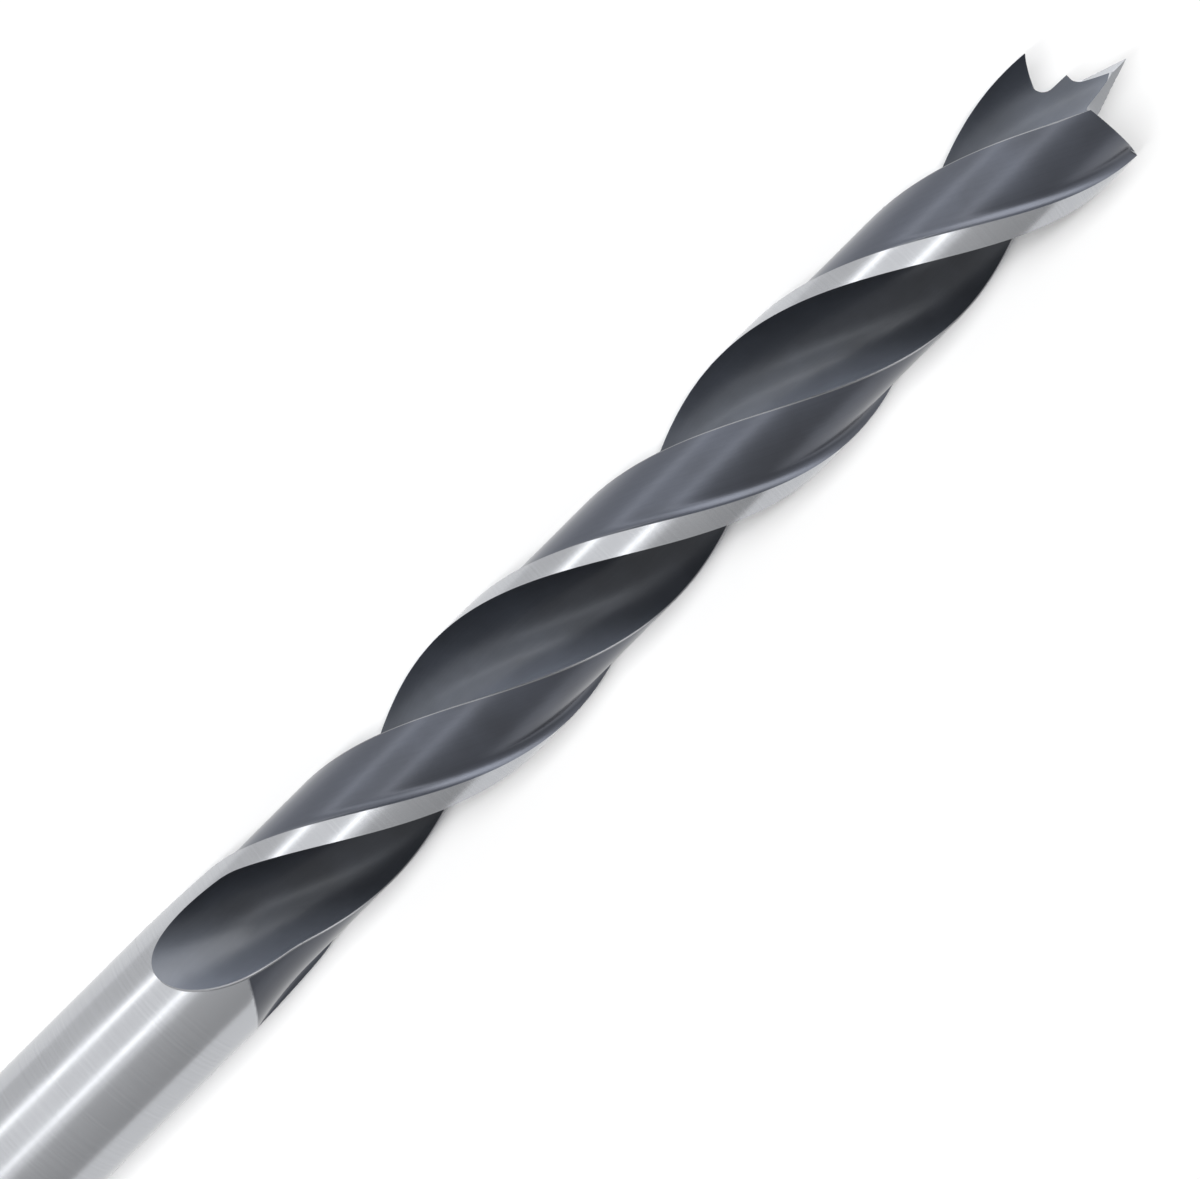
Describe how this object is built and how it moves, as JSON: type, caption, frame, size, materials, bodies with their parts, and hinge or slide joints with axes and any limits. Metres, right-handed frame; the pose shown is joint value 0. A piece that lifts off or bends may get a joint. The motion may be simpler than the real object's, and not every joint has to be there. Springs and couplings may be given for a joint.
{
  "type": "brad point drill bit",
  "caption": "Twist drill bit for wood with a round shank, right-hand helical flutes, a centre brad and outer spurs.",
  "frame": {"origin": "centre of the flat end of the shank, on the bit's axis", "axes": "+Z along the axis from the shank to the tip of the brad; the two lips lie along X"},
  "size_m": [0.01, 0.01, 0.133],
  "materials": {
    "tool_steel": "ground shank and margins, darker satin flutes"
  },
  "bodies": {
    "root": {"drill_bit": "tool_steel"}
  },
  "joints": []
}
